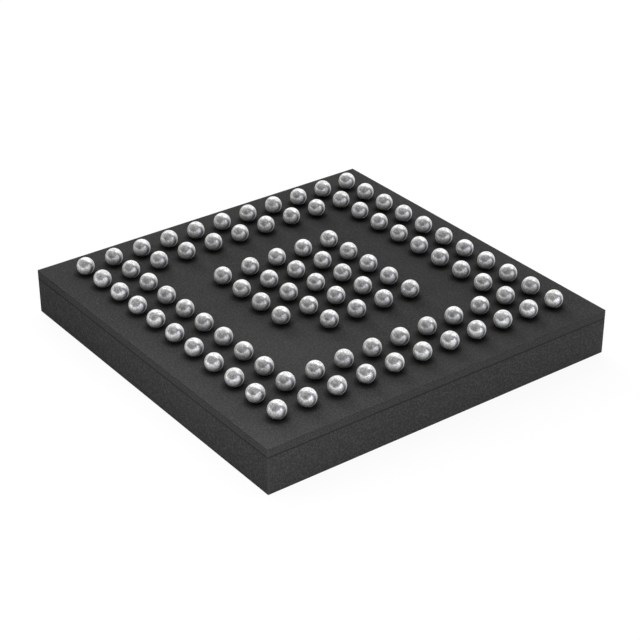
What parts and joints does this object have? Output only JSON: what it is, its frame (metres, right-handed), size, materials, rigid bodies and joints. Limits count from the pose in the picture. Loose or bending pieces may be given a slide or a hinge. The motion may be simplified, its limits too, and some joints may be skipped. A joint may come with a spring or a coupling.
{
  "type": "ball grid array chip",
  "caption": "Square over-moulded chip package lying on its flat face, with solder balls in two outer rings and a block in the middle.",
  "frame": {"origin": "centre of the mould cap's flat face, on which the package lies", "axes": "+Z from the moulded face towards the ball tips; X and Y run along the ball grid, and the middle block lacks its ball at +X -Y"},
  "size_m": [0.006, 0.006, 0.001],
  "materials": {
    "mould_compound": "matte black epoxy, fine grain, saw-cut sides",
    "solder_mask": "matte black solder mask",
    "laminate": "dark saw-cut glass-resin edge",
    "copper": "etched copper",
    "silicon": "ground and polished silicon",
    "die_attach": "adhesive film",
    "pad_aluminium": "sputtered aluminium",
    "gold_wire": "drawn gold wire",
    "solder": "satin reflowed tin solder"
  },
  "bodies": {
    "root": {"mould_cap": "mould_compound", "substrate_core": "laminate", "ball_side_mask": "solder_mask", "die_side_mask": "solder_mask", "ball_side_copper": "copper", "die_side_copper": "copper", "plated_vias": "copper", "silicon_die": "silicon", "die_attach_film": "die_attach", "die_bond_pads": "pad_aluminium", "bond_wires_front": "gold_wire", "bond_wires_right": "gold_wire", "bond_wires_back": "gold_wire", "bond_wires_left": "gold_wire", "solder_balls_row_a": "solder", "solder_balls_row_b": "solder", "solder_balls_row_c": "solder", "solder_balls_row_d": "solder", "solder_balls_row_e": "solder", "solder_balls_row_f": "solder", "solder_balls_row_g": "solder", "solder_balls_row_h": "solder", "solder_balls_row_j": "solder", "solder_balls_row_k": "solder", "solder_balls_row_l": "solder"}
  },
  "joints": []
}
